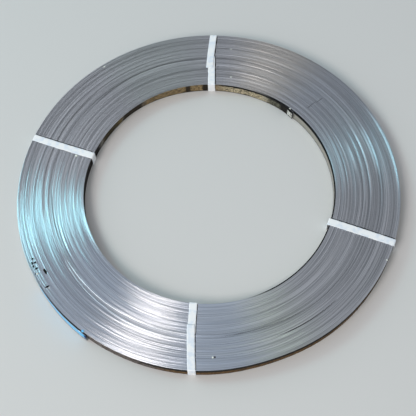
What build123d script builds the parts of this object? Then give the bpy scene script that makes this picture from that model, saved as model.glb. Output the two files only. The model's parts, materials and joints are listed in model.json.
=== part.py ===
# A roll of ribbon-wound steel strapping, lying on its end.
# One long strap is wound turn on turn, so the roll is as high as the strap is wide.
# Four white tape ties go round the wound section and keep the turns together.
# The roll's axis is Z, and the ties rest on the plane z = 0. Lengths are in millimetres.
import os
from math import asin, cos, degrees, radians, sin

from build123d import *

# The strap and how it is wound
strap_width = 19.0
strap_thickness = 0.5
turn_gap = 0.02  # air between neighbouring turns
core_diameter = 406.0  # the winding core that was drawn out of the bore

# Turns slide sideways together in groups, which leaves steps on both ends of the roll.
# From the bore outwards, each group has its count of turns and of the slide steps it has gone up.
slide_step = 0.1
winding_groups = [(22, 2), (16, 5), (20, 3), (14, 6), (23, 4), (12, 0)]
winding_groups += [(19, 5), (24, 2), (15, 6), (21, 3), (16, 4)]

# The strap's outer end springs away from the roll, and its inner end lies on the bore
outer_end_angle = 231.0
outer_end_sweep = 50.0
outer_end_lift = 2.5
inner_end_angle = 42.0
inner_end_sweep = 60.0

# The ties
tie_width = 12.0
tie_thickness = 0.6
tie_clearance = 0.1  # between a tie and the steel
tie_angles = {"tie_back": 85.8, "tie_left": 158.3, "tie_front": 261.5, "tie_right": 337.5}
lap_skews = {"tie_back": 6.0, "tie_front": -3.0}  # the ties whose tape ends lap on top of the roll
lap_length = 30.0

# Worked out from the sizes above
turn_pitch = strap_thickness + turn_gap
turn_count = sum(turns for turns, steps in winding_groups)
inner_slide = winding_groups[0][1] * slide_step
outer_slide = winding_groups[-1][1] * slide_step
core_radius = core_diameter / 2
outer_radius = core_radius + turn_count * turn_pitch
middle_radius = (core_radius + outer_radius) / 2
roll_base = tie_thickness + tie_clearance
roll_top = roll_base + strap_width + max(steps for turns, steps in winding_groups) * slide_step
middle_height = (roll_base + roll_top) / 2
tie_bend = 3 * tie_clearance  # inside bend, tight enough to pass clear of the steel's square edge


def strap_block(inner_radius, slide, thickness):
    # The section of some turns that lie together: a block one strap high, in the plane of X and Z.
    block = Rectangle(thickness, strap_width, align=(Align.MIN, Align.MIN))
    return Plane.XZ * Pos(inner_radius, roll_base + slide) * block


def wound_turns():
    # All the turns as one turned solid, with a step wherever a group has slid against the next.
    section = Sketch()
    inner_radius = core_radius
    for turns, steps in winding_groups:
        thickness = turns * turn_pitch
        section += strap_block(inner_radius, steps * slide_step, thickness)
        inner_radius += thickness
    return revolve(section, Axis.Z)


def strap_end(root_angle, sweep, face_radius, lift, slide):
    # A strap end that leaves the roll along an arc: at its root its inner face lies at face_radius,
    # and after the sweep it has come away from there by the lift, outwards if that is positive.
    centre_shift = lift / (1 - cos(radians(sweep)))
    section = strap_block(face_radius + centre_shift, slide, strap_thickness)
    band = Rot(0, 0, min(root_angle, root_angle + sweep)) * revolve(section, Axis.Z, abs(sweep))
    shift_x = -centre_shift * cos(radians(root_angle))
    shift_y = -centre_shift * sin(radians(root_angle))
    return Pos(shift_x, shift_y) * band


def strap_coil():
    # The outer end is the last turn's own strap, and the inner end is one more strap on the bore.
    outer_root = outer_end_angle - outer_end_sweep
    outer_face = outer_radius - strap_thickness
    outer_end = strap_end(outer_root, outer_end_sweep, outer_face, outer_end_lift, outer_slide)
    inner_root = inner_end_angle + inner_end_sweep
    inner_end = strap_end(inner_root, -inner_end_sweep, core_radius, -strap_thickness, inner_slide)
    return wound_turns() + outer_end + inner_end


def tie(angle):
    # A loop of tape round the wound section, bent to the curves of the bore and of the outside.
    depth = outer_radius - core_radius + 2 * tie_clearance
    height = roll_top - roll_base + 2 * tie_clearance
    inside = RectangleRounded(depth, height, tie_bend)
    outside = RectangleRounded(
        depth + 2 * tie_thickness, height + 2 * tie_thickness, tie_bend + tie_thickness
    )
    section = Plane.XZ * Pos(middle_radius, middle_height) * (outside - inside)
    # The turned sector is wider than the tape, most of all at the rim, and is trimmed to parallel edges
    tape_radius = core_radius - tie_clearance - tie_thickness
    half_sector = degrees(asin(tie_width / tape_radius))
    band = Rot(0, 0, -half_sector) * revolve(section, Axis.Z, 2 * half_sector)
    trim = Pos(middle_radius, 0, middle_height) * Box(2 * depth, tie_width, 2 * height)
    return Rot(0, 0, angle) * (band & trim)


def lap(angle, skew):
    # The tape's free end, stuck down over the tie's own top run and not quite in line with it.
    top = roll_top + tie_clearance + tie_thickness
    patch = Box(lap_length, tie_width, tie_thickness, align=(Align.CENTER, Align.CENTER, Align.MIN))
    return Rot(0, 0, angle) * Pos(middle_radius, 0, top) * Rot(0, 0, skew) * patch


pieces = {"strap_coil": strap_coil()}
for name, angle in tie_angles.items():
    pieces[name] = tie(angle)
    if name in lap_skews:
        pieces[name] += lap(angle, lap_skews[name])

os.makedirs("parts", exist_ok=True)
for name, piece in pieces.items():
    export_step(piece, f"parts/{name}.step")
    print(name, "volume", round(piece.volume), "mm3")
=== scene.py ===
# Roll of ribbon-wound steel strapping, lying on its end, tied by four white tapes.
# The strap is wound here turn by turn, at the sizes of the frame.
import json
import math

import bpy
import numpy as np
from mathutils import Matrix, Vector


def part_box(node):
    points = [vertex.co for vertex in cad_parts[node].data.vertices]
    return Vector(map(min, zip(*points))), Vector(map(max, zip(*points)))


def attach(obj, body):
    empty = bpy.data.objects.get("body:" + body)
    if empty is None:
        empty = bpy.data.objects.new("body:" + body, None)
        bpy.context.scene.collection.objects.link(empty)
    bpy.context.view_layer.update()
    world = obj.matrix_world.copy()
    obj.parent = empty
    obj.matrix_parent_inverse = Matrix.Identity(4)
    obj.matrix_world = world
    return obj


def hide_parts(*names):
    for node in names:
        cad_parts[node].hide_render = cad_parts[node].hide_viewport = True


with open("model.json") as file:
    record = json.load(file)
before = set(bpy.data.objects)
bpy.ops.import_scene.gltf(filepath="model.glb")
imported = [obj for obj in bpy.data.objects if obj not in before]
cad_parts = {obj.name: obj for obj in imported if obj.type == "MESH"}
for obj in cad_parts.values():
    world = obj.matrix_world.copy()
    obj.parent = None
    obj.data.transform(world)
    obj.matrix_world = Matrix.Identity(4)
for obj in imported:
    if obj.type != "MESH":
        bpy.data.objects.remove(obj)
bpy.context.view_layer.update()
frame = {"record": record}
mm = 0.001  # sizes below are in millimetres and degrees
noiseLow, noiseHigh = 0.3, 0.7  # most values of a noise lie between these

# What the frame gives
coreBore = next(mount for mount in frame["record"]["mounts"] if mount["name"] == "core_bore")
coreRadius = coreBore["dims"]["r_mm"]
strapWidth = coreBore["dims"]["length_mm"]
coilLow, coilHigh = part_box("strap_coil")
coilBase = coilLow.z / mm
coilTop = coilHigh.z / mm
rimRadius = (coilHigh.x - coilLow.x) / 2 / mm
print("frame loaded: core radius", coreRadius, "rim radius", round(rimRadius, 2))


def linear(hexColour):
    # sRGB hex to the linear colour that shaders and lamps take
    levels = [int(hexColour[i : i + 2], 16) / 255 for i in (1, 3, 5)]
    return [c / 12.92 if c <= 0.04045 else ((c + 0.055) / 1.055) ** 2.4 for c in levels] + [1.0]


def wayTo(azimuth, elevation=0.0):
    # Unit vector in that direction
    turned, raised = math.radians(azimuth), math.radians(elevation)
    level = math.cos(raised)
    return Vector((math.cos(turned) * level, math.sin(turned) * level, math.sin(raised)))


def smooth(share):
    share = np.clip(share, 0, 1)
    return share * share * (3 - 2 * share)


def addNode(tree, kind, inputs={}, **settings):
    # One node with its settings; an input is a value or another node's output
    node = tree.nodes.new(kind)
    for name, value in settings.items():
        setattr(node, name, value)
    for name, value in inputs.items():
        if isinstance(value, bpy.types.NodeSocket):
            tree.links.new(value, node.inputs[name])
        else:
            node.inputs[name].default_value = value
    return node


def newMaterial(name):
    material = bpy.data.materials.new(name)
    material.use_nodes = True
    material.node_tree.nodes.clear()
    return material


def mixColours(tree, share, first, second):
    inputs = {0: share, 6: first, 7: second}
    return addNode(tree, "ShaderNodeMix", inputs, data_type="RGBA").outputs[2]


def surface(tree, inputs):
    shader = addNode(tree, "ShaderNodeBsdfPrincipled", inputs)
    addNode(tree, "ShaderNodeOutputMaterial", {"Surface": shader.outputs[0]})


def placeOnRoll(tree):
    # Radius and height of a point in millimetres, and its direction from the roll's axis
    inputs = {0: addNode(tree, "ShaderNodeTexCoord").outputs["Object"], "Scale": 1 / mm}
    place = addNode(tree, "ShaderNodeVectorMath", inputs, operation="SCALE").outputs[0]
    inputs = {0: place, 1: (1, 1, 0)}
    flat = addNode(tree, "ShaderNodeVectorMath", inputs, operation="MULTIPLY").outputs[0]
    radius = addNode(tree, "ShaderNodeVectorMath", {0: flat}, operation="LENGTH").outputs["Value"]
    direction = addNode(tree, "ShaderNodeVectorMath", {0: flat}, operation="NORMALIZE").outputs[0]
    height = addNode(tree, "ShaderNodeSeparateXYZ", {0: place}).outputs["Z"]
    return radius, height, direction


def ringPattern(tree, across, direction, spacing, cellsRound):
    # Three noises round the roll: spacing is the size of a cell across it, and cellsRound is
    # the count of cells round it
    spread = addNode(tree, "ShaderNodeMath", {0: across, 1: spacing}, operation="DIVIDE").outputs[0]
    lifted = addNode(tree, "ShaderNodeCombineXYZ", {"Z": spread}).outputs[0]
    inputs = {0: direction, "Scale": cellsRound / math.tau}
    slow = addNode(tree, "ShaderNodeVectorMath", inputs, operation="SCALE").outputs[0]
    vector = addNode(tree, "ShaderNodeVectorMath", {0: slow, 1: lifted}).outputs[0]
    noise = addNode(tree, "ShaderNodeTexNoise", {"Vector": vector, "Scale": 1.0, "Detail": 1.0})
    return addNode(tree, "ShaderNodeSeparateColor", {0: noise.outputs["Color"]}).outputs


def patchShare(tree, direction, ragged, azimuth, halfWidth, fade):
    # How far a point lies in a patch round the roll, from 0 to 1, with a ragged border
    inputs = {0: direction, 1: wayTo(azimuth)}
    near = addNode(tree, "ShaderNodeVectorMath", inputs, operation="DOT_PRODUCT").outputs["Value"]
    gap = addNode(tree, "ShaderNodeMath", {0: near}, operation="ARCCOSINE").outputs[0]
    edge, spread = math.radians(halfWidth), math.radians(2 * fade)
    inputs = {0: ragged, 1: spread, 2: gap}
    gap = addNode(tree, "ShaderNodeMath", inputs, operation="MULTIPLY_ADD").outputs[0]
    return addNode(tree, "ShaderNodeMapRange", {0: gap, 1: edge + spread, 2: edge}).outputs[0]


def meshObject(name, vertices, faces, materials, slots=None, sharp=None):
    mesh = bpy.data.meshes.new(name)
    mesh.from_pydata(np.asarray(vertices).tolist(), [], [list(map(int, face)) for face in faces])
    for material in materials:
        mesh.materials.append(material)
    mesh.polygons.foreach_set("use_smooth", np.ones(len(faces), bool))
    if slots is not None:
        mesh.polygons.foreach_set("material_index", np.asarray(slots, np.int32))
    if sharp is not None:
        ends = np.zeros(2 * len(mesh.edges), np.int32)
        mesh.edges.foreach_get("vertices", ends)
        marks = mesh.attributes.new("sharp_edge", "BOOLEAN", "EDGE")
        marks.data.foreach_set("value", sharp(ends.reshape(-1, 2)))
    mesh.update()
    piece = bpy.data.objects.new(name, mesh)
    bpy.context.scene.collection.objects.link(piece)
    return piece


def settle(piece, slot, *nodes):
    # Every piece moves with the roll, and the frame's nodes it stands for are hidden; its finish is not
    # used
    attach(piece, "root")
    if nodes:
        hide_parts(*nodes)


# Ends of the roll: the strap's slit edges
slitLook = {
    "dull": "#b3b7be",
    "bright": "#dfe3e9",
    "contrast": (0.35, 0.65),  # the noise at which the steel is dull, and bright
    "roughness": (0.30, 0.38),
    "streak": 1.0,  # two turns, because single turns are too fine to show
    "streaksRound": 7,
    "wobble": 0.09,  # slope of an edge along the strap
    "lean": 0.2,  # slope of an edge across the strap
    # The innermost turns are painted black along a part of the bore: painted shade at the bore's edge, in
    # part grime
    "grime": "#101114",
    "grimeWidth": 1.8,
    "grimeBorder": 0.4,
    "grimeAt": (355, 66),  # azimuth and half width
    # Painted reflection tints where the lamps' coloured wedges fall: azimuth, half width and colour
    "tints": [(62, 12, "#d8c38c"), (108, 16, "#c4dccf"), (270, 12, "#9cc6ee"), (292, 9, "#c6d6bd")],
    "tintStrength": 0.2,
    "fade": 6,  # degrees in which the painted reflection tints and the painted shade run out
}


def slitSteel():
    # Cold-rolled strap steel, slit to width and lightly oiled. Each slit edge is a fine bright line
    # round the roll, so lamps show as wedges from bore to rim, broken into streaks.
    material = newMaterial("slitStrapSteel")
    tree = material.node_tree
    radius, _, direction = placeOnRoll(tree)
    ring = ringPattern(tree, radius, direction, slitLook["streak"], slitLook["streaksRound"])
    dull, bright = slitLook["contrast"]
    share = addNode(tree, "ShaderNodeMapRange", {0: ring["Red"], 1: dull, 2: bright}).outputs[0]
    low, high = slitLook["roughness"]
    rough = addNode(tree, "ShaderNodeMapRange", {0: share, 3: high, 4: low}).outputs[0]
    colour = mixColours(tree, share, linear(slitLook["dull"]), linear(slitLook["bright"]))
    # Painted reflection: each tint colours the steel where a lamp's coloured wedge falls
    for azimuth, halfWidth, tint in slitLook["tints"]:
        reflectionShare = patchShare(tree, direction, ring["Red"], azimuth, halfWidth, slitLook["fade"])
        inputs = {0: reflectionShare, 1: slitLook["tintStrength"]}
        reflectionShare = addNode(tree, "ShaderNodeMath", inputs, operation="MULTIPLY").outputs[0]
        colour = mixColours(tree, reflectionShare, colour, linear(tint))
    # Painted shade: the innermost turns go black along a part of the bore
    edge, border = coreRadius + slitLook["grimeWidth"], slitLook["grimeBorder"]
    inputs = {0: radius, 1: edge + border, 2: edge - border}
    grime = addNode(tree, "ShaderNodeMapRange", inputs).outputs[0]
    along = patchShare(tree, direction, ring["Red"], *slitLook["grimeAt"], slitLook["fade"])
    grime = addNode(tree, "ShaderNodeMath", {0: grime, 1: along}, operation="MULTIPLY").outputs[0]
    colour = mixColours(tree, grime, colour, linear(slitLook["grime"]))
    tangent = addNode(tree, "ShaderNodeTangent", direction_type="RADIAL", axis="Z").outputs[0]
    normal = addNode(tree, "ShaderNodeNewGeometry").outputs["Normal"]
    for channel, way, slope in (("Green", tangent, "wobble"), ("Blue", direction, "lean")):
        limits = {1: noiseLow, 2: noiseHigh, 3: -slitLook[slope], 4: slitLook[slope]}
        amount = addNode(tree, "ShaderNodeMapRange", {0: ring[channel], **limits}).outputs[0]
        push = addNode(tree, "ShaderNodeVectorMath", {0: way, "Scale": amount}, operation="SCALE")
        normal = addNode(tree, "ShaderNodeVectorMath", {0: normal, 1: push.outputs[0]}).outputs[0]
    normal = addNode(tree, "ShaderNodeVectorMath", {0: normal}, operation="NORMALIZE").outputs[0]
    surface(
        tree,
        {
            "Base Color": colour,
            "Metallic": 1.0,
            "Roughness": rough,
            "Anisotropic": 1.0,
            "Anisotropic Rotation": 0.25,
            "Tangent": tangent,
            "Normal": normal,
        },
    )
    return material


rubbedLook = {"steel": "#eff2f6", "roughness": (0.36, 0.5), "marksRound": 40}


def rubbedSteel():
    # Slit edges that stand proud beside a furrow, rubbed bright: a gloss that is seen from all round
    material = newMaterial("rubbedStrapSteel")
    tree = material.node_tree
    radius, _, direction = placeOnRoll(tree)
    ring = ringPattern(tree, radius, direction, slitLook["streak"], rubbedLook["marksRound"])
    low, high = rubbedLook["roughness"]
    inputs = {0: ring["Red"], 1: noiseLow, 2: noiseHigh, 3: low, 4: high}
    rough = addNode(tree, "ShaderNodeMapRange", inputs).outputs[0]
    surface(tree, {"Base Color": linear(rubbedLook["steel"]), "Metallic": 1.0, "Roughness": rough})
    return material


hiddenLook = {"oil": "#66686c", "roughness": (0.6, 0.9), "spotSize": 4.0, "spotsRound": 200}


def paintedGapShade():
    # The strap's flat sides where turns lie against each other: painted shade for the gaps between turns,
    # dark and dull
    material = newMaterial("oiledStrapSides")
    tree = material.node_tree
    _, height, direction = placeOnRoll(tree)
    film = ringPattern(tree, height, direction, hiddenLook["spotSize"], hiddenLook["spotsRound"])
    low, high = hiddenLook["roughness"]
    inputs = {0: film["Red"], 1: noiseLow, 2: noiseHigh, 3: low, 4: high}
    rough = addNode(tree, "ShaderNodeMapRange", inputs).outputs[0]
    # Painted shade: the sides are dark so that the gaps between turns show dark
    colour = linear(hiddenLook["oil"])
    surface(tree, {"Base Color": colour, "Roughness": rough, "Specular IOR Level": 0.3})
    return material


# Bore and rim: the strap's flat sides. A patch has its azimuth, half width and colour; the patches are a
# painted reflection of the ground in the shiny steel.
sideLook = {
    "roughness": (0.35, 0.8),  # of bare steel, and under the painted reflection and shade
    "patchFade": 3,  # degrees in which a patch runs out
    "speckBorder": 0.16,  # of the noise that makes the specks
    "grimeWander": 3.0,  # how far the border of the painted shade goes up and down
    "grimeBorder": 0.6,
}
# On the bore, the white patch at 43.8 is a painted highlight on the strap's curled inner tip, and the
# black one at 47.5 is painted shade beside it
boreLook = {
    "steel": "#bdb9b0",
    "patches": [(51, 7, "#6a6b5e"), (70, 12, "#cbbfa0"), (101, 20, "#a08a64")]
    + [(88.5, 1.5, "#2b2114"), (97, 1.2, "#3a2e1e"), (127, 7, "#2f2615"), (136, 2.5, "#7d6b45")]
    + [(143, 6, "#4c4129"), (180, 30, "#0c0b0a"), (47.5, 2.5, "#0d0d0c"), (43.8, 1.5, "#f2f6f0")],
    "speckle": "#1a140c",
    "speckleSize": 2.4,
    "speckleShare": 0.47,
    "grime": "#0b0a09",
    "grimeDepth": 5.0,
    "grimeAt": (32, 50),  # azimuth and half width
    "footGrime": 1.4,  # height of the black line along the lower edge, a painted contact shadow
}
rimLook = {
    "steel": "#b9bcc2",
    "patches": [(243, 17, "#68625e"), (306, 52, "#6d5230")],
    "speckle": "#2a1d10",
    "speckleSize": 3.5,
    "speckleShare": 0.42,
    "grime": "#14100b",
    "grimeDepth": 9.0,
    "grimeAt": (305, 58),
    "footGrime": 1.0,
}


def sideSteel(name, look, wallRadius):
    # Cold-rolled strip, smooth and grey, with a painted reflection of the ground in patches that end
    # raggedly, black specks in them, and painted shade, black, under the upper edge and along the lower
    # edge
    material = newMaterial(name)
    tree = material.node_tree
    _, height, direction = placeOnRoll(tree)
    cellsRound = math.tau * wallRadius / look["speckleSize"]
    blotch = ringPattern(tree, height, direction, look["speckleSize"], cellsRound)
    colour, groundReflection = linear(look["steel"]), 0.0
    for azimuth, halfWidth, shade in look["patches"]:
        fade = min(sideLook["patchFade"], halfWidth / 4)  # a narrow patch runs out sooner
        share = patchShare(tree, direction, blotch["Red"], azimuth, halfWidth, fade)
        colour = mixColours(tree, share, colour, linear(shade))
        groundReflection = addNode(tree, "ShaderNodeMath", {0: groundReflection, 1: share}, operation="MAXIMUM").outputs[0]
    edge, border = 1 - look["speckleShare"], sideLook["speckBorder"]
    inputs = {0: blotch["Green"], 1: edge - border, 2: edge + border}
    specks = addNode(tree, "ShaderNodeMapRange", inputs).outputs[0]
    specks = addNode(tree, "ShaderNodeMath", {0: specks, 1: groundReflection}, operation="MULTIPLY").outputs[0]
    colour = mixColours(tree, specks, colour, linear(look["speckle"]))

    # Painted shade, black: under the upper edge along a part of the wall, and all along the lower edge as
    # a painted contact shadow
    wander, border = sideLook["grimeWander"], sideLook["grimeBorder"]
    inputs = {0: blotch["Blue"], 1: wander, 2: height}
    level = addNode(tree, "ShaderNodeMath", inputs, operation="MULTIPLY_ADD").outputs[0]
    low = coilTop - look["grimeDepth"] + wander / 2
    inputs = {0: level, 1: low - border, 2: low + border}
    grime = addNode(tree, "ShaderNodeMapRange", inputs).outputs[0]
    along = patchShare(tree, direction, blotch["Red"], *look["grimeAt"], sideLook["patchFade"])
    grime = addNode(tree, "ShaderNodeMath", {0: grime, 1: along}, operation="MULTIPLY").outputs[0]
    # The black along the lower edge is a painted contact shadow, held in damp
    foot = coilBase + look["footGrime"] + wander / 2
    inputs = {0: level, 1: foot + border, 2: foot - border}
    damp = addNode(tree, "ShaderNodeMapRange", inputs).outputs[0]
    grime = addNode(tree, "ShaderNodeMath", {0: grime, 1: damp}, operation="MAXIMUM").outputs[0]
    colour = mixColours(tree, grime, colour, linear(look["grime"]))

    reflectionAndShade = addNode(tree, "ShaderNodeMath", {0: groundReflection, 1: grime}, operation="MAXIMUM").outputs[0]
    metal = addNode(tree, "ShaderNodeMapRange", {0: reflectionAndShade, 3: 1.0, 4: 0.0}).outputs[0]
    bare, covered = sideLook["roughness"]
    rough = addNode(tree, "ShaderNodeMapRange", {0: reflectionAndShade, 3: bare, 4: covered}).outputs[0]
    finish = {"Metallic": metal, "Roughness": rough, "Specular IOR Level": 0.3}
    surface(tree, {"Base Color": colour, **finish})
    return material


# Painted reflection of blue sky on the strap's outer end, with a painted shadow at its cut
paintLook = {
    "blue": "#6cc4f7",
    "deep": "#0f3d7a",
    "deepSweep": 0.7,  # degrees of the dark line at the cut, a painted shadow
    "cutFade": 0.2,
    "depth": 15.0,  # how far it reaches down the rim
    "wander": 6.0,  # how far its lower border goes up and down
    "border": 0.5,
    "setOn": 4,  # degrees by which the ragged start falls short of the painted sweep
    "startFade": 1.5,
    "startLimits": (0.45, 0.55),  # close together, so that the start is crisp
    "brushMark": 4.0,
    "marksRound": 300,
    "roughness": 0.35,
}


def paintedSkyReflection():
    # A painted reflection of blue sky on the outer end of the strap, laid on like brushed paint: even and
    # glossy, with ragged edges where the brush set on and ran dry, and a thick dark line at the cut, a
    # painted shadow
    material = newMaterial("blueMarkingPaint")
    tree = material.node_tree
    _, height, direction = placeOnRoll(tree)
    brush = ringPattern(tree, height, direction, paintLook["brushMark"], paintLook["marksRound"])
    wander, border = paintLook["wander"], paintLook["border"]
    inputs = {0: brush["Red"], 1: wander, 2: height}
    level = addNode(tree, "ShaderNodeMath", inputs, operation="MULTIPLY_ADD").outputs[0]
    low = coilTop - paintLook["depth"] + wander / 2
    inputs = {0: level, 1: low - border, 2: low + border}
    share = addNode(tree, "ShaderNodeMapRange", inputs).outputs[0]
    end, sweep = strap["outerEnd"], strap["paintedSweep"] - paintLook["setOn"]
    begin = patchShare(tree, direction, brush["Blue"], end, sweep, paintLook["startFade"])
    first, full = paintLook["startLimits"]
    begin = addNode(tree, "ShaderNodeMapRange", {0: begin, 1: first, 2: full}).outputs[0]
    share = addNode(tree, "ShaderNodeMath", {0: share, 1: begin}, operation="MULTIPLY").outputs[0]
    # Painted shadow: the dark line at the cut
    cut = patchShare(tree, direction, brush["Green"], end, paintLook["deepSweep"], paintLook["cutFade"])
    paint = mixColours(tree, cut, linear(paintLook["blue"]), linear(paintLook["deep"]))
    colour = mixColours(tree, share, linear(rimLook["steel"]), paint)
    metal = addNode(tree, "ShaderNodeMapRange", {0: share, 3: 1.0, 4: 0.0}).outputs[0]
    surface(tree, {"Base Color": colour, "Metallic": metal, "Roughness": paintLook["roughness"]})
    return material


# The strap: one long strip, wound from the bore outwards
strap = {
    "thickness": 0.5,
    "turnGap": 0.02,
    "segments": 120,  # to a turn
    "innerEnd": 42.0,  # azimuth
    "innerCurl": (2.4, 0.96, 0.24),  # how far the points of its tip bend into the bore
    "outerEnd": 231.0,
    "endSweep": 50.0,  # over which the outer end springs away
    "endLift": 2.5,
    "endFlare": 1.0,  # how far its lower edge stands out beyond its upper edge
    "paintedSweep": 25.0,
    # Groups of turns that slid sideways together, from the bore outwards: turns, and how far up
    "groups": [(22, 0.2), (16, 0.5), (20, 0.3), (14, 0.6), (23, 0.4), (12, 0.0)]
    + [(19, 0.5), (24, 0.2), (15, 0.6), (21, 0.3), (16, 0.4)],
    "groupBlend": 0.4,  # turns in which the strap moves from one group's slide to the next
    "lowest": 0.1,  # no lower edge comes nearer to the foot of the coil
    "wave": 0.10,  # how far edges wander up and down on the way round
    "waveCells": (5, 14),  # turns in a wave, and waves round the roll
    "leanOut": 13.0,  # degrees that the slit edges lean outwards
    # How that lean varies: turns in a patch, patches round the roll, and degrees
    "leans": [(1.0, 9, 14.0)],
    # Turns that lean inwards and catch the lamps: first and last azimuth, radius and half width
    "glintLean": -40.0,
    "glints": [(-8, 28, 304.4, 1.7), (0, 22, 276.3, 3.8), (-10, 26, 260.7, 1.3), (-12, 24, 252.2, 0.8)]
    + [(2, 18, 239.9, 2.2), (-10, 25, 231.0, 0.6), (-10, 26, 225.5, 0.4), (-10, 26, 218.5, 0.7)]
    + [(-10, 24, 204.6, 0.6), (52, 76, 286.2, 0.3), (50, 74, 272.8, 0.6), (54, 78, 259.0, 0.4)]
    + [(52, 75, 250.6, 0.5), (55, 77, 232.0, 0.4), (54, 74, 225.4, 0.3), (53, 76, 219.0, 0.3)],
    "glintEnds": 0.3,  # share of its sweep in which a glint begins, and ends
    "glintUneven": 0.35,
    "glintCells": (1.6, 9),  # turns in a patch of that unevenness, and patches round the roll
    # Where the turns stand out of round: azimuth, half width, and how far outwards
    "rimDents": [(285, 15, -3.0), (320, 20, -1.3), (120, 40, 1.2), (205, 40, 1.2)],
    "boreDents": [(144, 24, -2.1)],
    "boreLeans": [(125, 25, 3.8)],  # of the lower edges against the upper ones
    "seed": 11,
}
turnPitch = strap["thickness"] + strap["turnGap"]

# Turns that sank between their neighbours. Each course has azimuth, radius and half width.
furrows = [
    {
        "course": [(202, 255.0, 0.4), (215, 255.2, 1.4), (230, 255.6, 2.2)]
        + [(245, 256.4, 2.9), (262, 257.3, 3.7)],
        "depth": 0.4,
        "floorLean": -16,
        "lipLean": 8,
        "rubbed": True,
    },
    {
        "course": [(176, 253.0, 0.3), (185, 251.8, 0.6), (195, 250.8, 0.6), (215, 250.3, 0.3)],
        "depth": 1.4,
        "floorLean": -26,
        "lipLean": 8,
    },
    {
        "course": [(198, 260.3, 0.2), (210, 259.0, 0.5), (224, 260.4, 0.3)],
        "depth": 0.8,
        "floorLean": -22,
        "lipLean": 6,
    },
    {
        "course": [(87, 254.2, 0.8), (105, 255.8, 1.3), (120, 255.0, 1.2), (134, 253.3, 0.6)],
        "depth": 0.8,
        "floorLean": -30,
        "lipLean": 10,
    },
    {
        "course": [(130, 268.8, 0.1), (150, 268.5, 0.5), (164, 268.2, 0.5), (188, 266.6, 0.1)],
        "depth": 0.9,
        "floorLean": -18,
        "lipLean": 5,
    },
    {
        "course": [(267, 256.5, 0.5), (283, 255.7, 0.6), (292, 257.2, 0.8)]
        + [(303, 259.4, 0.8), (329, 260.3, 0.6)],
        "depth": 1.0,
        "floorLean": -26,
        "lipLean": 6,
    },
    {
        "course": [(290, 276.3, 0.2), (302, 276.9, 0.6), (311, 277.0, 0.2)],
        "depth": 4.0,
        "floorLean": 0,
        "lipLean": 0,
    },
]
furrowShape = {
    "begin": 0.15,  # share of its sweep in which a furrow begins
    "end": 0.04,
    "wall": 0.7,  # width of the slope at the side of a furrow or glint
    "wallOut": 0.6,  # how much of that lies outside its half width
    "lipOut": 1.1,  # from the half width to the top of the lip
    "lipWidth": 0.6,
    "rubbedFrom": 0.45,  # share of the lip's rise above which it is rubbed
}

# The faces of the strap, and its finishes in the order of its materials
below, outside, above, inside = range(4)
slitFinish, boreFinish, rimFinish, skyReflectionFinish, rubbedFinish, hiddenFinish = range(6)

# The coil's flat map for baking, in shares of its side
coilMap = {
    "ringMiddle": 0.38,
    "upperSize": 0.37,
    "lowerSize": 0.235,
    "rimMargin": 1.02,
    "stripStart": 0.01,
    "stripLength": 0.97,
    "stripHeight": 0.05,
    "rimStrip": 0.80,
    "boreStrip": 0.87,
    "hiddenStrip": 0.94,
    "spare": 0.99,  # where the cut ends of the strap go
}


def slideAt(turn):
    # How far up the strap has slid at that turn
    starts = np.cumsum([0] + [count for count, slide in strap["groups"]])
    knots, slides = [], []
    for (count, slide), start in zip(strap["groups"], starts):
        knots += [start + strap["groupBlend"] / 2, start + count - strap["groupBlend"] / 2]
        slides += [slide, slide]
    return np.interp(turn, knots, slides)


def steelTop(radius):
    # Height of the slit edges at that radius
    return coilBase + strapWidth + slideAt((radius - coreRadius) / turnPitch)


def bulgeAt(dents, azimuth):
    # How far the turns stand out of round there
    bulge = 0.0
    for centre, halfWidth, depth in dents:
        gap = (azimuth - centre + 180) % 360 - 180
        bulge = bulge + depth * np.exp(-((gap / halfWidth) ** 2))
    return bulge


def ringNoise(random, turn, azimuth, turnsPerCell, cellsRound):
    # Smooth noise over the winding, from -1 to 1, with no seam round the roll
    rows = int(turn.max() / turnsPerCell) + 2
    lattice = random.uniform(-1, 1, (rows, cellsRound))
    row = turn / turnsPerCell
    column = azimuth % 360 / 360 * cellsRound
    rowShare, columnShare = smooth(row % 1), smooth(column % 1)
    row, column = row.astype(int), column.astype(int) % cellsRound
    following = (column + 1) % cellsRound
    lower = lattice[row, column] * (1 - columnShare) + lattice[row, following] * columnShare
    upper = lattice[row + 1, column] * (1 - columnShare) + lattice[row + 1, following] * columnShare
    return lower * (1 - rowShare) + upper * rowShare


def withinHalf(out, half):
    # 1 within the half width of a furrow or glint, falling to 0 at its sides
    return smooth((half + furrowShape["wallOut"] - out) / furrowShape["wall"])


def leanEdges(random, turn, azimuth, radius):
    # Degrees that each slit edge leans outwards
    lean = np.full(len(turn), strap["leanOut"])
    for turnsPerCell, cellsRound, degrees in strap["leans"]:
        lean += degrees * ringNoise(random, turn, azimuth, turnsPerCell, cellsRound)
    ends, uneven = strap["glintEnds"], strap["glintUneven"]
    for start, end, middle, half in strap["glints"]:
        share = (azimuth - start) % 360 / (end - start)
        reach = smooth(share / ends) * smooth((1 - share) / ends)
        amount = 1 - uneven + uneven * ringNoise(random, turn, azimuth, *strap["glintCells"])
        lean += strap["glintLean"] * amount * reach * withinHalf(np.abs(radius - middle), half)
    return lean


def sinkFurrows(azimuth, radius, height, lean):
    # Lowers and leans the turns in each furrow, and tells which ones beside it are rubbed
    rubbed = np.zeros(len(radius), bool)
    for furrow in furrows:
        way, middle, half = np.array(furrow["course"]).T
        share = (azimuth % 360 - way[0]) / (way[-1] - way[0])
        reach = smooth(share / furrowShape["begin"]) * smooth((1 - share) / furrowShape["end"])
        half = np.interp(azimuth % 360, way, half)
        out = np.abs(radius - np.interp(azimuth % 360, way, middle))
        floor = reach * withinHalf(out, half)
        beside = (out - half - furrowShape["lipOut"]) / furrowShape["lipWidth"]
        lip = reach * np.exp(-(beside**2))
        rubbed |= furrow.get("rubbed", False) & (lip > furrowShape["rubbedFrom"])
        height -= furrow["depth"] * floor
        lean += furrow["floorLean"] * floor + furrow["lipLean"] * lip
    return rubbed


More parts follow.
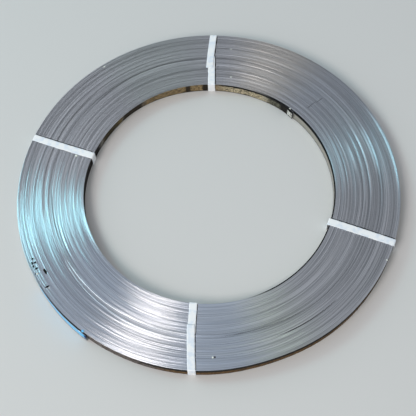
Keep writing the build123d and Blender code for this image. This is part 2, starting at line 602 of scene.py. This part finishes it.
def coilFaces(azimuth, rubbed):
    # Four faces to a step and a cap at either end, with their finishes. Only the first turn shows
    # inside, and only the last one outside.
    steps = len(azimuth) - 1
    first = 4 * np.arange(steps)[:, None]
    corner = np.arange(4)
    following = (corner + 1) % 4
    quads = np.stack([first + corner, first + 4 + corner, first + 4 + following, first + following], -1)
    last = 4 * steps
    caps = [[0, 1, 2, 3], [last + 3, last + 2, last + 1, last]]
    slots = np.full((steps, 4), slitFinish)
    slots[:, [outside, inside]] = hiddenFinish
    slots[: strap["segments"], inside] = boreFinish
    slots[-strap["segments"] :, outside] = rimFinish
    slots[azimuth[:-1] > azimuth[-1] - strap["paintedSweep"], outside] = skyReflectionFinish
    slots[rubbed[:-1], above] = rubbedFinish
    faces = np.concatenate([quads.reshape(-1, 4), caps])
    return faces, np.concatenate([slots.reshape(-1), [slitFinish, skyReflectionFinish]])


def alongStrap(ends):
    # The sharp edges are those that join the same corner of two sections
    return ends[:, 0] % 4 == ends[:, 1] % 4


def windStrap(materials):
    random = np.random.default_rng(strap["seed"])
    thickness = strap["thickness"]
    turns = round((rimRadius - coreRadius) / turnPitch)
    turns += (strap["outerEnd"] - strap["innerEnd"]) / 360
    turn = np.arange(round(turns * strap["segments"]) + 1) / strap["segments"]
    azimuth = strap["innerEnd"] + 360 * turn
    radius = coreRadius - thickness + turnPitch * turn
    height = slideAt(turn) + strap["wave"] * ringNoise(random, turn, azimuth, *strap["waveCells"])
    lean = leanEdges(random, turn, azimuth, radius)
    rubbed = sinkFurrows(azimuth, radius, height, lean)

    # Out of round at rim and bore, the tip that curls into the bore, and the outer end that springs away
    share = np.clip((radius - coreRadius) / (rimRadius - coreRadius), 0, 1)
    radius = radius + share * bulgeAt(strap["rimDents"], azimuth)
    radius = radius + (1 - share) * bulgeAt(strap["boreDents"], azimuth)
    radius[: len(strap["innerCurl"])] -= strap["innerCurl"]
    sprung = np.clip(azimuth - azimuth[-1] + strap["endSweep"], 0, None)
    fullSpring = 1 - math.cos(math.radians(strap["endSweep"]))
    radius = radius + strap["endLift"] * (1 - np.cos(np.radians(sprung))) / fullSpring

    # Four corners to a section: inside low, outside low, outside high, inside high
    flare = strap["endFlare"] * smooth(1 - (azimuth[-1] - azimuth) / strap["paintedSweep"])
    flare += (1 - share) * bulgeAt(strap["boreLeans"], azimuth)
    tilt = thickness / 2 * np.tan(np.radians(lean))
    low = coilBase + np.maximum(height, strap["lowest"])
    high = coilBase + height + strapWidth
    radii = np.stack([radius + flare, radius + flare + thickness, radius + thickness, radius], 1)
    heights = np.stack([low, low, high - tilt, high + tilt], 1)
    turned = np.radians(azimuth)[:, None]
    vertices = np.stack([radii * np.cos(turned), radii * np.sin(turned), heights], -1)
    vertices = vertices.reshape(-1, 3) * mm

    faces, slots = coilFaces(azimuth, rubbed)
    coil = meshObject("strapCoil", vertices, faces, materials, slots, alongStrap)
    settle(coil, "strap_steel", "strap_coil")
    mapCoil(coil, vertices, faces, len(turn) - 1)
    print("strap wound:", round(turns, 2), "turns,", 2 * len(faces), "triangles")


def mapCoil(coil, vertices, faces, steps):
    # The upper end as a large ring, the lower end as a small ring inside it, and the bore, the rim
    # and the hidden sides as strips
    places = np.full((len(faces), 4, 2), coilMap["spare"])
    flat = vertices[faces][..., :2] / (coilMap["rimMargin"] * rimRadius * mm)
    for side, size in ((below, coilMap["lowerSize"]), (above, coilMap["upperSize"])):
        quads = slice(side, 4 * steps, 4)
        places[quads] = coilMap["ringMiddle"] + size * flat[quads]
    segments = strap["segments"]
    along = np.arange(steps) % segments / segments
    ahead = along + 1 / segments
    across = coilMap["stripStart"] + coilMap["stripLength"] * np.stack([along, ahead, ahead, along], 1)
    rim = (outside, slice(-segments, None), coilMap["rimStrip"])
    bore = (inside, slice(segments), coilMap["boreStrip"])
    for side, visible, strip in (rim, bore):
        foot = np.full(steps, coilMap["hiddenStrip"])
        foot[visible] = strip
        head = foot + coilMap["stripHeight"]
        heights = [foot, foot, head, head] if side == outside else [head, head, foot, foot]
        places[side : 4 * steps : 4, :, 0] = across
        places[side : 4 * steps : 4, :, 1] = np.stack(heights, 1)
    layer = coil.data.uv_layers.new(name="OFBake")
    layer.data.foreach_set("uv", places.reshape(-1))


boreSteel = sideSteel("rustedBoreSteel", boreLook, coreRadius)
rimSteel = sideSteel("rustedRimSteel", rimLook, rimRadius)
windStrap([slitSteel(), boreSteel, rimSteel, paintedSkyReflection(), rubbedSteel(), paintedGapShade()])

# The ties: one tape round the wound section each
tape = {
    "width": 12.0,
    "thickness": 0.6,
    "clearance": 0.1,
    "floorGap": 0.02,
    "bend": 0.9,
    "bendAngles": (22, 45, 68),  # of the stations in a bend
    "step": 2.5,  # between stations along the tape
    "strips": 8,  # across the tape
    "wrinkle": 0.15,
    "frayed": 0.5,  # how far the cut edges wander
    # Where its ends lap: how far before the under end the upper one begins to climb, in what length,
    # and the gap between the two
    "climbFrom": 9.0,
    "climb": 8.0,
    "lapGap": 0.05,
    "white": "#fcfeff",
    "shade": "#eaf2fb",
    "markSize": 9.0,
    "markLimits": (0.45, 0.62),  # the noise at which a mark begins, and is full
    "roughness": 0.5,
    "seed": 5,
}
# Painted shadow: a dark fillet beside each tie, where the raised tape casts its shadow on the steel
paintedShadowFillet = {
    "colour": "#1b1a1d",
    "roughness": (0.95, 0.55),  # dull, and in glossier spots
    "spotSize": 4.0,
    "fromEdges": 1.0,  # how far it stops short of bore and rim
    "ragged": (0.6, 1.1),
    "tucked": 0.8,  # how far it goes under the tape
    "rise": 0.1,  # above the lower face of the tape
    "sunk": 0.05,  # below the steel
}
# Azimuths at the rim and at the bore, how wide the painted shadow beside the tape is (below 0 on the side
# of smaller azimuths), and how far the tape stands off the bore. A lapped tie has radius and azimuth of
# its two ends.
ties = {
    "tie_back": {
        "rim": 85.3,
        "bore": 85.5,
        "grime": -1.9,
        "bulge": 0.3,
        "under": (262, 85.8),
        "upper": (237, 86.5),
    },
    "tie_left": {"rim": 158.3, "bore": 159.1, "grime": -2.3, "bulge": 2.0},
    "tie_front": {
        "rim": 262.4,
        "bore": 260.6,
        "grime": 1.3,
        "bulge": 0.3,
        "under": (251, 261.2),
        "upper": (237, 260.7),
    },
    "tie_right": {"rim": 337.1, "bore": 337.9, "grime": 2.4, "bulge": 2.0},
}


def plasticTape():
    # White polypropylene tape, rolled thin: matt and a little bluish, with soft grey marks from handling
    material = newMaterial("whitePlasticTape")
    tree = material.node_tree
    place = addNode(tree, "ShaderNodeTexCoord").outputs["Object"]
    inputs = {"Vector": place, "Scale": 1 / (tape["markSize"] * mm), "Detail": 3.0}
    marks = addNode(tree, "ShaderNodeTexNoise", inputs).outputs[0]
    begin, full = tape["markLimits"]
    share = addNode(tree, "ShaderNodeMapRange", {0: marks, 1: begin, 2: full}).outputs[0]
    colour = mixColours(tree, share, linear(tape["white"]), linear(tape["shade"]))
    surface(tree, {"Base Color": colour, "Roughness": tape["roughness"], "IOR": 1.49})
    return material


def oilyGrime():
    # A painted shadow along one edge of the tape: nearly black, dull with a few glossier spots
    material = newMaterial("oilyGrime")
    tree = material.node_tree
    place = addNode(tree, "ShaderNodeTexCoord").outputs["Object"]
    inputs = {"Vector": place, "Scale": 1 / (paintedShadowFillet["spotSize"] * mm)}
    spots = addNode(tree, "ShaderNodeTexNoise", inputs).outputs[0]
    dry, damp = paintedShadowFillet["roughness"]
    inputs = {0: spots, 1: noiseLow, 2: noiseHigh, 3: dry, 4: damp}
    rough = addNode(tree, "ShaderNodeMapRange", inputs).outputs[0]
    colour = linear(paintedShadowFillet["colour"])
    surface(tree, {"Base Color": colour, "Roughness": rough, "Specular IOR Level": 0.2})
    return material


def middleOf(tie):
    # Azimuth of the tie's own line
    return (tie["rim"] + tie["bore"]) / 2


def tapeRoute(tie):
    # Stations along the tape's inner face: radius, height, azimuth, and whether it is on the last run
    top, bottom = coilTop + tape["clearance"], coilBase - tape["clearance"]
    inner = coreRadius - strap["thickness"] - tie["bulge"]
    outer = rimRadius + max(bulgeAt(strap["rimDents"], tie["rim"]), 0) + tape["clearance"]
    middle = ((inner + outer) / 2, middleOf(tie))
    under, upper = tie.get("under", middle), tie.get("upper", middle)
    corners = [(under[0], top, under[1]), (inner, top, tie["bore"]), (inner, bottom, tie["bore"])]
    corners += [(outer, bottom, tie["rim"]), (outer, top, tie["rim"]), (upper[0], top, upper[1])]
    corners = np.array(corners)
    lastRun = len(corners) - 2
    stations = []
    for run in range(lastRun + 1):
        here, there = corners[run], corners[run + 1]
        length = np.hypot(*(there - here)[:2])
        way = (there - here)[:2] / length
        start = tape["bend"] if run else 0.0
        end = length if run == lastRun else length - tape["bend"]
        for along in np.linspace(start, end, max(3, round((end - start) / tape["step"]))):
            stations.append([*(here + (there - here) * along / length), run == lastRun])
        if run < lastRun:
            # A quarter circle leads from this run to the next
            nextWay = (corners[run + 2] - there)[:2]
            nextWay = nextWay / np.hypot(*nextWay)
            for angle in np.radians(tape["bendAngles"]):
                inwards = nextWay * (1 - math.cos(angle)) - way * (1 - math.sin(angle))
                stations.append([*(there[:2] + tape["bend"] * inwards), there[2], False])
    return np.array(stations)


def onRoll(tie, away, aside, up):
    # From the tie's own line to the roll, with the tape bent to the roll's curve
    away = np.sqrt(away**2 - aside**2)
    x, y, _ = wayTo(middleOf(tie))
    return np.stack([away * x - aside * y, away * y + aside * x, up + 0 * away], -1).reshape(-1, 3)


def tapeShell(tie, random):
    # The tape itself: inner and outer layer of a closed loop, or of one with two lapped ends
    stations = tapeRoute(tie)
    closed = "under" not in tie
    if closed:
        stations = stations[:-1]
    radius, height, azimuth, lastRun = stations.T
    lift = np.zeros(len(radius))
    if not closed:
        # The upper end climbs over the under end
        climbed = smooth((tie["under"][0] + tape["climbFrom"] - radius) / tape["climb"])
        lift = lastRun * climbed * (tape["thickness"] + tape["lapGap"])
    line = np.stack([radius, height], 1)
    ahead = np.roll(line, -1, 0) - np.roll(line, 1, 0)
    if not closed:
        ahead[0], ahead[-1] = line[1] - line[0], line[-1] - line[-2]
    outward = np.stack([ahead[:, 1], -ahead[:, 0]], 1)
    outward /= np.linalg.norm(outward, axis=1)[:, None]
    count, strips = len(radius), tape["strips"]
    sideways = np.tile(np.linspace(-0.5, 0.5, strips + 1) * tape["width"], (count, 1))
    sideways[:, [0, -1]] += tape["frayed"] * random.uniform(-0.5, 0.5, (count, 2))
    bumps = tape["wrinkle"] * random.uniform(0, 1, (count, strips + 1))
    bumps = (bumps + np.roll(bumps, 1, 0) + np.roll(bumps, -1, 0)) / 3

    aside = sideways + (np.radians(azimuth - middleOf(tie)) * radius)[:, None]
    layers = []
    for level in (0.0, tape["thickness"]):
        out = lift[:, None] + bumps + level
        up = np.maximum(height[:, None] + outward[:, 1:] * out, tape["floorGap"])
        layers.append(onRoll(tie, radius[:, None] + outward[:, :1] * out, aside, up))
    size = count * (strips + 1)
    faces = []
    for station in range(count if closed else count - 1):
        here, there = station * (strips + 1), (station + 1) % count * (strips + 1)
        for j in range(strips):
            quad = [here + j, here + j + 1, there + j + 1, there + j]
            faces.append([v + size for v in quad])
            faces.append(quad[::-1])
        faces.append([here, here + size, there + size, there])
        faces.append([there + strips, there + strips + size, here + strips + size, here + strips])
    if not closed:
        end = (count - 1) * (strips + 1)
        for j in range(strips):
            faces.append([j, j + 1, j + 1 + size, j + size])
            faces.append([end + j + 1, end + j, end + j + size, end + j + 1 + size])
    return np.concatenate(layers), faces


def paintedShadowShell(tie, random):
    # A fillet of painted shadow along one edge of the tape, on top of the roll
    inset, tucked = paintedShadowFillet["fromEdges"], paintedShadowFillet["tucked"]
    spots = np.arange(coreRadius + inset, rimRadius - inset, tape["step"])
    side = math.copysign(1, tie["grime"])
    under = tie.get("under", (rimRadius, tie["rim"]))
    upper = tie.get("upper", (coreRadius, tie["bore"]))
    upperLine = np.interp(spots, [upper[0], rimRadius], [upper[1], tie["rim"]], left=np.nan)
    underLine = np.interp(spots, [coreRadius, under[0]], [tie["bore"], under[1]], right=np.nan)
    edge = np.fmax(side * upperLine, side * underLine) * side
    edge = np.radians(edge - middleOf(tie)) * spots + side * tape["width"] / 2
    ragged = random.uniform(*paintedShadowFillet["ragged"], len(spots) + 2)
    spread = abs(tie["grime"]) * (ragged[:-2] + ragged[1:-1] + ragged[2:]) / 3
    steel, sunk = steelTop(spots), paintedShadowFillet["sunk"]
    ridge = onRoll(tie, spots, edge - side * tucked, coilTop + tape["clearance"] + paintedShadowFillet["rise"])
    foot = onRoll(tie, spots, edge + side * spread, steel + sunk)
    root = onRoll(tie, spots, edge - side * tucked, steel - sunk)
    number = len(spots)
    faces = []
    for i in range(number - 1):
        for a, b in ((0, 1), (1, 2), (2, 0)):
            quad = [a * number + i, b * number + i, b * number + i + 1, a * number + i + 1]
            faces.append(quad if side < 0 else quad[::-1])
    ends = [[k * number for k in range(3)], [k * number + number - 1 for k in (2, 1, 0)]]
    faces += [cap[::-1] if side < 0 else cap for cap in ends]
    return np.concatenate([ridge, foot, root]), faces


def makeTie(name, tie, materials, random):
    tapeVertices, tapeFaces = tapeShell(tie, random)
    shadowVertices, shadowFaces = paintedShadowShell(tie, random)
    vertices = np.concatenate([tapeVertices, shadowVertices]) * mm
    faces = tapeFaces + [[v + len(tapeVertices) for v in face] for face in shadowFaces]
    slots = [0] * len(tapeFaces) + [1] * len(shadowFaces)
    piece = meshObject(name + "_tape", vertices, faces, materials, slots)
    settle(piece, "tie_tape", name)


tapeRandom = np.random.default_rng(tape["seed"])
tapeMaterials = [plasticTape(), oilyGrime()]
for name, tie in ties.items():
    makeTie(name, tie, tapeMaterials, tapeRandom)
print("ties made:", len(ties))

# What stuck to the roll, with a painted shadow, a painted highlight and a painted reflection among the
# chips. Each chip has azimuth, radius, length round the roll, width across it, and thickness.
chips = {
    "tarChips": {
        "colour": "#08090b",
        "roughness": 0.75,
        "spots": [
            (201.4, 301.4, 4.0, 4.6, 0.6),
            (202.8, 304.6, 6.0, 4.0, 0.6),
            (202.9, 300.0, 3.6, 4.6, 0.6),
            (203.9, 304.6, 6.0, 3.2, 0.6),
            (204.9, 301.6, 3.8, 5.6, 0.6),
            (207.0, 291.6, 12.0, 5.0, 0.8),
            (211.8, 300.9, 3.2, 8.0, 0.6),
            # The next chip is a painted shadow of the white bead at 268.3 beside it
            (268.9, 287.1, 2.6, 3.2, 0.9),
            (206.4, 306.4, 3.6, 2.2, 0.5),
        ],
    },
    "paintChips": {
        "colour": "#eef3ea",
        "roughness": 0.5,
        "spots": [
            (206.6, 303.9, 4.2, 3.0, 0.8),
            (212.5, 299.4, 2.6, 2.4, 0.6),
            (123.7, 304.3, 4.2, 3.2, 0.7),
            (161.0, 227.4, 5.0, 5.0, 0.6),
            (78.8, 280.5, 2.6, 2.6, 0.4),
            (76.8, 220.6, 3.0, 3.6, 0.5),
            (331.1, 305.6, 2.4, 4.0, 0.5),
            (268.3, 287.4, 3.6, 4.0, 1.4),
            # The next chip is a painted highlight on the strap's curled inner tip
            (44.3, 203.6, 4.0, 2.0, 0.5),
        ],
    },
    # A painted reflection of blue sky at the tip of the strap's outer end, as a chip
    "bluePaintChips": {
        "colour": "#74c6f6",
        "roughness": 0.4,
        "spots": [(229.4, 308.0, 6.0, 4.4, 0.3)],
    },
    "greaseSmears": {
        "colour": "#70737a",
        "roughness": 0.6,
        "spots": [
            (38.3, 251.0, 1.5, 20.0, 0.12),
            (38.9, 234.0, 1.5, 24.0, 0.12),
            (83.0, 240.0, 2.4, 4.0, 0.2),
        ],
    },
}
chipShape = {
    "corners": 9,
    "ragged": (0.75, 1.1),
    "sunk": 0.15,  # below the steel
    "shoulder": (0.6, 0.85),  # shares of its thickness and of its width
    "crown": 0.45,  # share of its width on top
    "grain": 0.8,
    "smoother": 0.15,  # how far its roughness goes down, and up
    "rougher": 0.2,
    "seed": 3,
}


def driedChip(name, look):
    # Dried specks of bitumen or paint: dull, with a slightly uneven skin
    material = newMaterial(name)
    tree = material.node_tree
    place = addNode(tree, "ShaderNodeTexCoord").outputs["Object"]
    inputs = {"Vector": place, "Scale": 1 / (chipShape["grain"] * mm)}
    skin = addNode(tree, "ShaderNodeTexNoise", inputs).outputs[0]
    low, high = look["roughness"] - chipShape["smoother"], look["roughness"] + chipShape["rougher"]
    inputs = {0: skin, 1: noiseLow, 2: noiseHigh, 3: low, 4: high}
    rough = addNode(tree, "ShaderNodeMapRange", inputs).outputs[0]
    surface(tree, {"Base Color": linear(look["colour"]), "Roughness": rough, "Specular IOR Level": 0.3})
    return material


def makeChips(name, look, random):
    corners = chipShape["corners"]
    shoulder, shoulderShare = chipShape["shoulder"]
    vertices, faces = [], []
    for azimuth, radius, length, width, thickness in look["spots"]:
        angles = np.arange(corners) / corners * math.tau
        ragged = random.uniform(*chipShape["ragged"], corners)
        steel = steelTop(radius)
        start = len(vertices)
        levels = [(-chipShape["sunk"], 1.0), (shoulder * thickness, shoulderShare)]
        for level, share in levels + [(thickness, chipShape["crown"])]:
            for angle, size in zip(angles, ragged * share / 2):
                along, across = length * size * math.cos(angle), width * size * math.sin(angle)
                turned = math.radians(azimuth) + along / radius
                away = radius + across
                vertices.append((away * math.cos(turned), away * math.sin(turned), steel + level))
        for ring in (start, start + corners):
            for i in range(corners):
                j = (i + 1) % corners
                faces.append([ring + i, ring + corners + i, ring + corners + j, ring + j])
        faces.append([start + i for i in range(corners)])
        faces.append([start + 2 * corners + i for i in reversed(range(corners))])
    piece = meshObject(name, np.array(vertices) * mm, faces, [driedChip(name, look)])
    settle(piece, "strap_steel")


chipRandom = np.random.default_rng(chipShape["seed"])
for name, look in chips.items():
    makeChips(name, look, chipRandom)
print("chips made:", sum(len(look["spots"]) for look in chips.values()))

# Floor, light and camera
studio = {
    "floor": "#d8d8d6",
    "floorSize": 8000.0,
    "floorRoughness": 0.9,
    "brightSide": "#f0f3f8",
    "darkSide": "#898a8d",
    "brightAzimuth": 170.0,
    # Dimmer parts of the surround: azimuth, elevation, angles at which each begins and is full,
    # and colour
    "dimParts": [(160, 64, 24, 8, "#8ba2bd"), (53, 48, 27, 9, "#8a8b8f")],
    "lampDistance": 4000.0,
}
lamps = {
    "coolLamp": {"colour": "#a4f0f8", "azimuth": 154.0, "elevation": 38.0, "size": 1200.0, "watts": 26.0},
    "warmLamp": {"colour": "#fff5ee", "azimuth": 230.0, "elevation": 42.0, "size": 1700.0, "watts": 62.0},
    "greenLamp": {"colour": "#e2f4d6", "azimuth": 304.0, "elevation": 60.0, "size": 500.0, "watts": 2.0},
}
view = {
    "elevation": 61.89,
    "roll": -3.381,
    "distance": 1431.9,
    "aim": (-2.63, -38.84),
    "fieldOfView": 26.095,
}


def layFloor():
    # Pale matt floor paint: even, with no gloss
    material = newMaterial("paleFloorPaint")
    finish = {"Base Color": linear(studio["floor"]), "Roughness": studio["floorRoughness"]}
    surface(material.node_tree, finish)
    half = studio["floorSize"] / 2 * mm
    corners = [(-half, -half, 0), (half, -half, 0), (half, half, 0), (-half, half, 0)]
    meshObject("floor", corners, [[0, 1, 2, 3]], [material])


def setSurround():
    # Soft light from all round, brighter on one side
    world = bpy.data.worlds.new("studioSurround")
    world.use_nodes = True
    tree = world.node_tree
    tree.nodes.clear()
    look = addNode(tree, "ShaderNodeTexCoord").outputs["Generated"]
    inputs = {0: look, 1: wayTo(studio["brightAzimuth"])}
    side = addNode(tree, "ShaderNodeVectorMath", inputs, operation="DOT_PRODUCT").outputs["Value"]
    share = addNode(tree, "ShaderNodeMapRange", {0: side, 1: -1.0, 2: 1.0}).outputs[0]
    colour = mixColours(tree, share, linear(studio["darkSide"]), linear(studio["brightSide"]))
    for azimuth, elevation, begin, full, shade in studio["dimParts"]:
        inputs = {0: look, 1: wayTo(azimuth, elevation)}
        near = addNode(tree, "ShaderNodeVectorMath", inputs, operation="DOT_PRODUCT").outputs["Value"]
        limits = {1: math.cos(math.radians(begin)), 2: math.cos(math.radians(full))}
        share = addNode(tree, "ShaderNodeMapRange", {0: near, **limits}).outputs[0]
        colour = mixColours(tree, share, colour, linear(shade))
    background = addNode(tree, "ShaderNodeBackground", {"Color": colour, "Strength": 1.0})
    addNode(tree, "ShaderNodeOutputWorld", {"Surface": background.outputs[0]})
    bpy.context.scene.world = world


def hangLamps():
    for name, lamp in lamps.items():
        light = bpy.data.lights.new(name, "AREA")
        light.shape = "DISK"
        light.size = lamp["size"] * mm
        light.energy = lamp["watts"]
        light.color = linear(lamp["colour"])[:3]
        holder = bpy.data.objects.new(name, light)
        way = wayTo(lamp["azimuth"], lamp["elevation"])
        holder.location = way * studio["lampDistance"] * mm
        holder.rotation_euler = way.to_track_quat("Z", "Y").to_euler()
        bpy.context.scene.collection.objects.link(holder)


def setCamera():
    elevation, roll = math.radians(view["elevation"]), math.radians(view["roll"])
    back = Vector((0, -math.cos(elevation), math.sin(elevation)))
    level = Vector((1, 0, 0))
    right = level * math.cos(roll) + back.cross(level) * math.sin(roll)
    up = back.cross(right)
    aim = Vector((*view["aim"], coilTop))
    lens = bpy.data.cameras.new("mainCamera")
    lens.sensor_fit = "HORIZONTAL"
    lens.angle = math.radians(view["fieldOfView"])
    camera = bpy.data.objects.new("mainCamera", lens)
    camera.matrix_world = Matrix((right, up, back)).transposed().to_4x4()
    camera.location = (aim + back * view["distance"]) * mm
    bpy.context.scene.collection.objects.link(camera)
    bpy.context.scene.camera = camera


layFloor()
setSurround()
hangLamps()
bpy.context.scene.view_settings.view_transform = "Standard"
setCamera()
print("studio and camera set")
